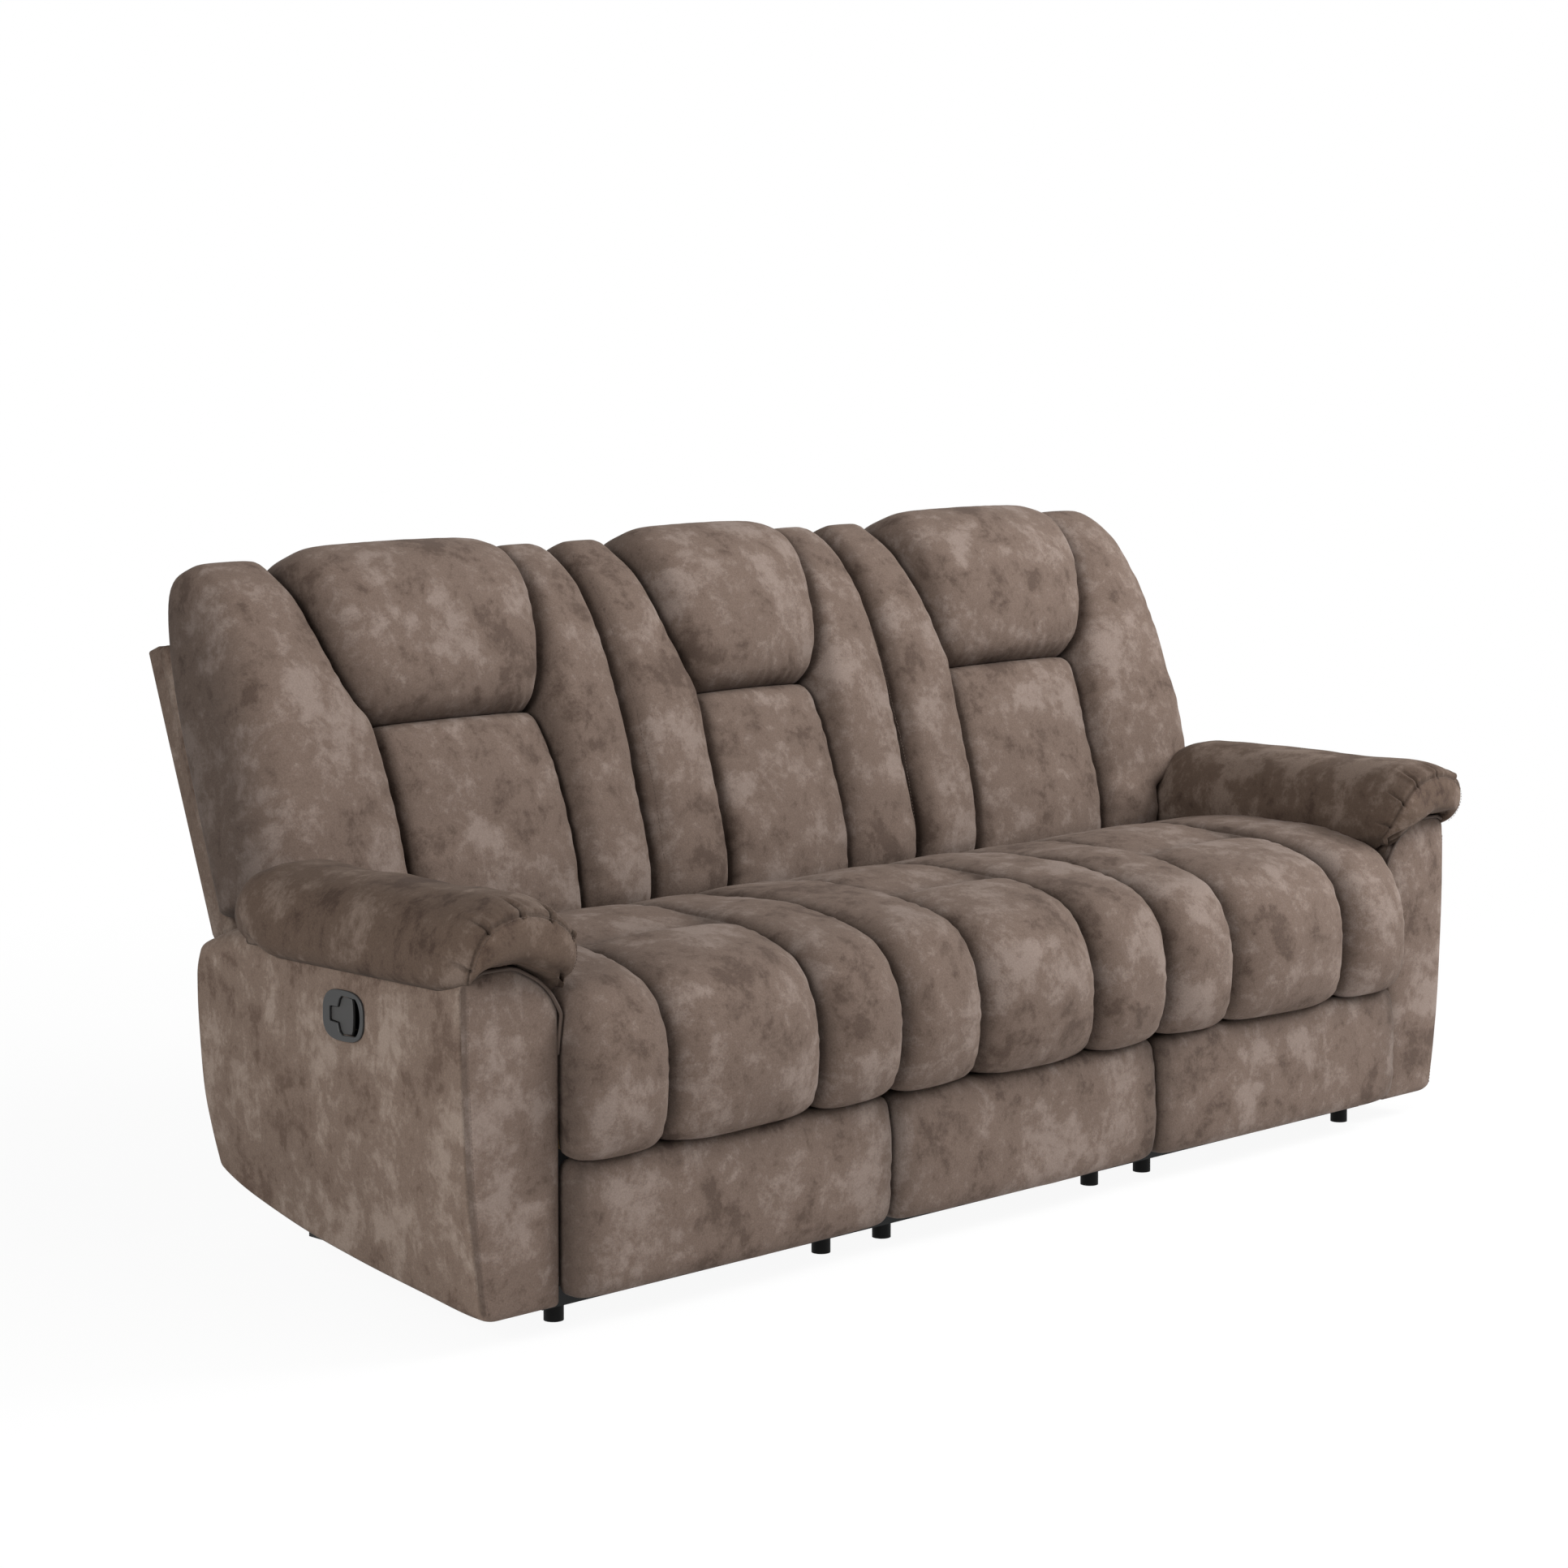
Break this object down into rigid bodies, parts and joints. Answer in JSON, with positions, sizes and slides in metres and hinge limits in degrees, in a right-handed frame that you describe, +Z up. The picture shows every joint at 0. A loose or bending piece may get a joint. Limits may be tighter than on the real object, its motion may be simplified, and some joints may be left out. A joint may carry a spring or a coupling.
{
  "type": "reclining sofa",
  "caption": "Three-seat reclining sofa with padded arms: both end seats recline and raise a footrest, the middle seat is fixed.",
  "frame": {"origin": "centre of the footprint, on the floor under the feet", "axes": "+X to the right as one faces the sofa, +Y from front to back, +Z up"},
  "size_m": [2.2104, 0.9309, 1.0315],
  "materials": {
    "upholstery": "distressed faux suede with a soft nap",
    "rear_upholstery": "faux suede, flat tailored",
    "timber": "sawn softwood and plywood",
    "black_steel": "black powder coat",
    "spring_steel": "oil-tempered wire",
    "black_plastic": "fine moulded grain",
    "foot_plastic": "black moulded",
    "cable_sheath": "matt sheath"
  },
  "bodies": {
    "root": {"base_front_rail": "black_steel", "base_rear_rail": "black_steel", "base_side_rails": "black_steel", "feet": "foot_plastic", "arm_brackets": "black_steel", "middle_seat_frame": "timber", "middle_seat_springs": "spring_steel", "middle_seat_cushion": "upholstery", "middle_front_panel": "upholstery", "middle_back_frame": "timber", "middle_rear_cover": "rear_upholstery", "middle_lumbar_pad": "upholstery", "middle_head_pillow": "upholstery", "middle_back_bolsters": "upholstery", "left_arm_frame": "timber", "left_arm_cover": "upholstery", "left_arm_pad": "upholstery", "left_handle_bezel": "black_plastic", "left_release_cable": "cable_sheath", "right_arm_frame": "timber", "right_arm_cover": "upholstery", "right_arm_pad": "upholstery", "right_handle_bezel": "black_plastic", "right_release_cable": "cable_sheath"},
    "left_seat": {"left_seat_frame": "timber", "left_seat_springs": "spring_steel", "left_seat_cushion": "upholstery", "left_mechanism_plates": "black_steel"},
    "left_back": {"left_back_frame": "timber", "left_rear_cover": "rear_upholstery", "left_lumbar_pad": "upholstery", "left_head_pillow": "upholstery", "left_back_bolsters": "upholstery", "left_back_brackets": "black_steel"},
    "left_drive": {"left_drive_links": "black_steel", "left_drive_tube": "black_steel"},
    "left_rear_link": {"left_rear_links": "black_steel"},
    "left_footrest_arm": {"left_footrest_arms": "black_steel"},
    "left_footrest": {"left_footrest_brackets": "black_steel", "left_footrest_board": "timber", "left_footrest_pad": "upholstery"},
    "left_handle": {"left_handle_lever": "black_plastic"},
    "right_seat": {"right_seat_frame": "timber", "right_seat_springs": "spring_steel", "right_seat_cushion": "upholstery", "right_mechanism_plates": "black_steel"},
    "right_back": {"right_back_frame": "timber", "right_rear_cover": "rear_upholstery", "right_lumbar_pad": "upholstery", "right_head_pillow": "upholstery", "right_back_bolsters": "upholstery", "right_back_brackets": "black_steel"},
    "right_drive": {"right_drive_links": "black_steel", "right_drive_tube": "black_steel"},
    "right_rear_link": {"right_rear_links": "black_steel"},
    "right_footrest_arm": {"right_footrest_arms": "black_steel"},
    "right_footrest": {"right_footrest_brackets": "black_steel", "right_footrest_board": "timber", "right_footrest_pad": "upholstery"},
    "right_handle": {"right_handle_lever": "black_plastic"}
  },
  "joints": [
    {"name": "left_seat_slide", "type": "slide", "parent": "root", "child": "left_seat", "axis": [0, -1, 0], "range_m": [0, 0.06]},
    {"name": "left_recline", "type": "hinge", "parent": "left_seat", "child": "left_back", "pos_m": [0, 0.1869, 0.33], "axis": [-1, 0, 0], "range_deg": [0, 30]},
    {"name": "left_footrest_open", "type": "hinge", "parent": "left_seat", "child": "left_drive", "pos_m": [0, -0.1381, 0.29], "axis": [-1, 0, 0], "range_deg": [0, 95]},
    {"name": "left_rear_link_turn", "type": "hinge", "parent": "left_seat", "child": "left_rear_link", "pos_m": [0, -0.10023, 0.262], "axis": [-1, 0, 0], "range_deg": [0, 94.33]},
    {"name": "left_footrest_arm_turn", "type": "hinge", "parent": "left_drive", "child": "left_footrest_arm", "pos_m": [0, -0.0281, 0.09947], "axis": [-1, 0, 0], "range_deg": [-78.01, 0]},
    {"name": "left_footrest_turn", "type": "hinge", "parent": "left_footrest_arm", "child": "left_footrest", "pos_m": [0, -0.3551, 0.14], "axis": [-1, 0, 0], "range_deg": [0, 73.01]},
    {"name": "left_handle_pull", "type": "hinge", "parent": "root", "child": "left_handle", "pos_m": [-1.087, -0.1121, 0.421], "axis": [0, 0, -1], "range_deg": [0, 35], "stiffness_Nm_per_rad": 0.3, "springref_deg": -17.19},
    {"name": "right_seat_slide", "type": "slide", "parent": "root", "child": "right_seat", "axis": [0, -1, 0], "range_m": [0, 0.06]},
    {"name": "right_recline", "type": "hinge", "parent": "right_seat", "child": "right_back", "pos_m": [0, 0.1869, 0.33], "axis": [-1, 0, 0], "range_deg": [0, 30]},
    {"name": "right_footrest_open", "type": "hinge", "parent": "right_seat", "child": "right_drive", "pos_m": [0, -0.1381, 0.29], "axis": [-1, 0, 0], "range_deg": [0, 95]},
    {"name": "right_rear_link_turn", "type": "hinge", "parent": "right_seat", "child": "right_rear_link", "pos_m": [0, -0.10023, 0.262], "axis": [-1, 0, 0], "range_deg": [0, 94.33]},
    {"name": "right_footrest_arm_turn", "type": "hinge", "parent": "right_drive", "child": "right_footrest_arm", "pos_m": [0, -0.0281, 0.09947], "axis": [-1, 0, 0], "range_deg": [-78.01, 0]},
    {"name": "right_footrest_turn", "type": "hinge", "parent": "right_footrest_arm", "child": "right_footrest", "pos_m": [0, -0.3551, 0.14], "axis": [-1, 0, 0], "range_deg": [0, 73.01]},
    {"name": "right_handle_pull", "type": "hinge", "parent": "root", "child": "right_handle", "pos_m": [1.087, -0.1121, 0.421], "axis": [0, 0, 1], "range_deg": [0, 35], "stiffness_Nm_per_rad": 0.3, "springref_deg": -17.19}
  ],
  "couplings": [
    {"joint": "left_seat_slide", "follows": "left_recline", "m_per_rad": 0.11458},
    {"joint": "left_rear_link_turn", "follows": "left_footrest_open", "ratio": 0.99284},
    {"joint": "left_footrest_arm_turn", "follows": "left_footrest_open", "ratio": -0.82105},
    {"joint": "left_footrest_turn", "follows": "left_footrest_open", "ratio": 0.76842},
    {"joint": "right_seat_slide", "follows": "right_recline", "m_per_rad": 0.11458},
    {"joint": "right_rear_link_turn", "follows": "right_footrest_open", "ratio": 0.99284},
    {"joint": "right_footrest_arm_turn", "follows": "right_footrest_open", "ratio": -0.82105},
    {"joint": "right_footrest_turn", "follows": "right_footrest_open", "ratio": 0.76842}
  ]
}
